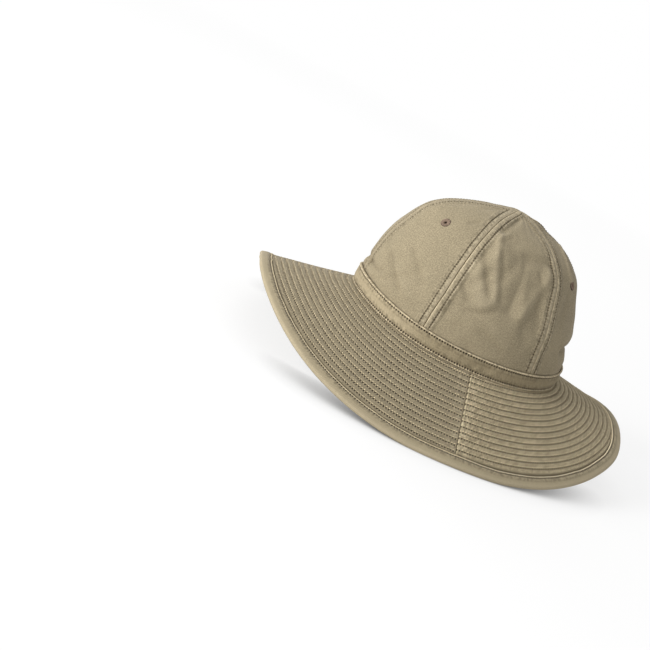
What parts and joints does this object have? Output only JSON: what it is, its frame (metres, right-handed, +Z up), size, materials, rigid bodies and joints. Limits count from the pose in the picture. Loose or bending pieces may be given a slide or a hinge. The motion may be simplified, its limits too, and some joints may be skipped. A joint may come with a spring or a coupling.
{
  "type": "deck hat",
  "caption": "Cloth hat with a panelled domed crown, thread-worked vent eyelets, a folded hat band and a wide bound brim that dips at the sides",
  "frame": {"origin": "On the surface that the hat rests on, under the middle of its rim", "axes": "+Z up through the crown, -Y out of the front of the hat, +X towards the wearer's left"},
  "size_m": [0.3326, 0.368, 0.1826],
  "materials": {
    "crown_cloth": "matte cotton twill",
    "eyelet_thread": "brown buttonhole thread",
    "band_cloth": "matte cotton twill",
    "brim_cloth": "matte cotton twill, quilted by rows of stitches",
    "binding_cloth": "matte bias-cut cotton twill"
  },
  "bodies": {
    "root": {"crown_front_left": "crown_cloth", "crown_front_right": "crown_cloth", "crown_side_left": "crown_cloth", "crown_side_right": "crown_cloth", "crown_back_left": "crown_cloth", "crown_back_right": "crown_cloth", "eyelet_front_left": "eyelet_thread", "eyelet_front_right": "eyelet_thread", "eyelet_back_left": "eyelet_thread", "eyelet_back_right": "eyelet_thread", "hat_band": "band_cloth", "brim_front": "brim_cloth", "brim_back": "brim_cloth", "brim_binding": "binding_cloth"}
  },
  "joints": []
}
